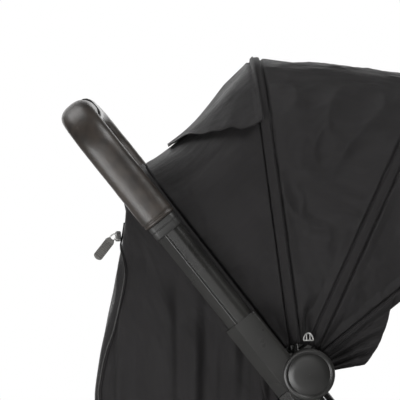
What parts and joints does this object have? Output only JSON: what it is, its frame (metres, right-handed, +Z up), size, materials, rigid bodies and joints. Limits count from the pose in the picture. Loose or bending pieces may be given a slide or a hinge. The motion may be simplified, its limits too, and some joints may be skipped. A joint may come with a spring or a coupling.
{
  "type": "compact stroller",
  "caption": "Folding compact stroller: U handle with leatherette grips and round fold hubs, cloth canopy, reclining padded seat, calf rest, basket, swivel front and braked rear wheels.",
  "frame": {"origin": "on the floor under the middle of the stroller's box", "axes": "+Z up, +X forward in the direction of travel, +Y to the seated child's left"},
  "size_m": [0.7215, 0.523, 1.0483],
  "materials": {
    "frame": "fine matte powder coat",
    "plastic": "fine moulded grain",
    "leatherette": "satin leatherette",
    "cloth": "matte woven cloth",
    "pad": "matte padded cloth",
    "webbing": "ribbed webbing",
    "steel": "bright",
    "tyre": "matte foam rubber",
    "soft_grey": "soft-touch grey"
  },
  "bodies": {
    "chassis": {"lower_tube_near": "frame", "lower_tube_far": "frame", "hub_pin_near": "steel", "hub_pin_far": "steel", "front_housing_near": "plastic", "front_housing_far": "plastic", "footrest_bar": "frame", "seat_frame": "frame", "seat_base": "plastic", "seat_pad": "pad", "basket": "cloth", "crotch_strap": "webbing", "buckle": "plastic", "canopy_bow_rear": "frame", "canopy_rear_panel": "cloth", "canopy_flap": "cloth", "canopy_slider": "steel"},
    "handle": {"handle_tube": "frame", "handle_knuckle_near": "frame", "handle_knuckle_far": "frame", "hub_cap_near": "plastic", "hub_cap_far": "plastic", "grip_near": "leatherette", "grip_far": "leatherette", "grip_collar_near": "plastic", "grip_collar_far": "plastic", "release_housing": "plastic"},
    "release_button": {"release_button": "soft_grey"},
    "lock_slide": {"lock_slide": "soft_grey"},
    "rear_frame": {"rear_leg_near": "frame", "rear_leg_far": "frame", "rear_axle": "steel", "brake_bar": "frame"},
    "brake_pedal": {"brake_pedal": "plastic"},
    "rear_wheel_near": {"rear_rim_near": "plastic", "rear_tyre_near": "tyre"},
    "rear_wheel_far": {"rear_rim_far": "plastic", "rear_tyre_far": "tyre"},
    "front_swivel_near": {"front_fork_near": "plastic", "front_axle_near": "steel"},
    "front_swivel_far": {"front_fork_far": "plastic", "front_axle_far": "steel"},
    "front_wheel_near": {"front_rim_near": "plastic", "front_tyre_near": "tyre"},
    "front_wheel_far": {"front_rim_far": "plastic", "front_tyre_far": "tyre"},
    "backrest": {"backrest_board": "plastic", "backrest_pad": "pad", "shoulder_strap_near": "webbing", "shoulder_strap_far": "webbing", "seat_surround": "cloth", "zip_slider": "steel"},
    "zip_pull": {"zip_pull": "soft_grey"},
    "calf_rest": {"calf_board": "plastic", "calf_pad": "pad"},
    "canopy_middle": {"canopy_bow_middle": "frame", "canopy_middle_panel": "cloth"},
    "canopy_front": {"canopy_bow_front": "frame", "canopy_front_panel": "cloth"},
    "buckle_button": {"buckle_button": "soft_grey"}
  },
  "joints": [
    {"name": "handle_fold", "type": "hinge", "parent": "chassis", "child": "handle", "pos_m": [-0.054, 0, 0.665], "axis": [0, 1, 0], "range_deg": [0, 175]},
    {"name": "rear_leg_fold", "type": "hinge", "parent": "chassis", "child": "rear_frame", "pos_m": [0.00731, 0, 0.54763], "axis": [0, 1, 0], "range_deg": [-50, 0]},
    {"name": "backrest_recline", "type": "hinge", "parent": "chassis", "child": "backrest", "pos_m": [-0.109, 0, 0.465], "axis": [0, 1, 0], "range_deg": [-40, 0], "deforming": ["seat_surround", "canopy_rear_panel", "canopy_flap", "shoulder_strap_near", "shoulder_strap_far"]},
    {"name": "canopy_middle_fold", "type": "hinge", "parent": "chassis", "child": "canopy_middle", "pos_m": [-0.064, 0, 0.659], "axis": [0, 1, 0], "range_deg": [-25, 0], "deforming": ["canopy_middle_panel"]},
    {"name": "canopy_front_fold", "type": "hinge", "parent": "canopy_middle", "child": "canopy_front", "pos_m": [-0.064, 0, 0.659], "axis": [0, 1, 0], "range_deg": [-19, 0], "deforming": ["canopy_front_panel"]},
    {"name": "calf_rest_lift", "type": "hinge", "parent": "chassis", "child": "calf_rest", "pos_m": [0.161, 0, 0.465], "axis": [0, 1, 0], "range_deg": [-75, 0]},
    {"name": "brake_pedal_press", "type": "hinge", "parent": "rear_frame", "child": "brake_pedal", "pos_m": [-0.24783, -0.1, 0.11035], "axis": [0, 1, 0], "range_deg": [-20, 0]},
    {"name": "release_press", "type": "slide", "parent": "handle", "child": "release_button", "axis": [0.7821, 0, 0.6232], "range_m": [0, 0.0035], "stiffness_N_per_m": 400, "springref_m": -0.001},
    {"name": "lock_slide_move", "type": "slide", "parent": "handle", "child": "lock_slide", "axis": [0, -1, 0], "range_m": [0, 0.008]},
    {"name": "buckle_press", "type": "slide", "parent": "chassis", "child": "buckle_button", "axis": [-1, 0, 0], "range_m": [0, 0.0015], "stiffness_N_per_m": 600, "springref_m": -0.0005},
    {"name": "zip_pull_swing", "type": "hinge", "parent": "backrest", "child": "zip_pull", "pos_m": [-0.29118, -0.13474, 0.82811], "axis": [0, 1, 0], "range_deg": [-30, 30]},
    {"name": "front_swivel_near", "type": "hinge", "parent": "chassis", "child": "front_swivel_near", "pos_m": [0.331, -0.178, 0.165], "axis": [0, 0, 1], "continuous": true},
    {"name": "front_wheel_spin_near", "type": "hinge", "parent": "front_swivel_near", "child": "front_wheel_near", "pos_m": [0.296, -0.178, 0.0642], "axis": [0, 1, 0], "continuous": true},
    {"name": "rear_wheel_spin_near", "type": "hinge", "parent": "rear_frame", "child": "rear_wheel_near", "pos_m": [-0.269, -0.2455, 0.07408], "axis": [0, 1, 0], "continuous": true},
    {"name": "front_swivel_far", "type": "hinge", "parent": "chassis", "child": "front_swivel_far", "pos_m": [0.331, 0.178, 0.165], "axis": [0, 0, 1], "continuous": true},
    {"name": "front_wheel_spin_far", "type": "hinge", "parent": "front_swivel_far", "child": "front_wheel_far", "pos_m": [0.296, 0.178, 0.0642], "axis": [0, 1, 0], "continuous": true},
    {"name": "rear_wheel_spin_far", "type": "hinge", "parent": "rear_frame", "child": "rear_wheel_far", "pos_m": [-0.269, 0.2455, 0.07408], "axis": [0, 1, 0], "continuous": true}
  ],
  "couplings": [
    {"joint": "rear_leg_fold", "follows": "handle_fold", "ratio": -0.28571},
    {"joint": "canopy_front_fold", "follows": "canopy_middle_fold", "ratio": 0.76}
  ]
}
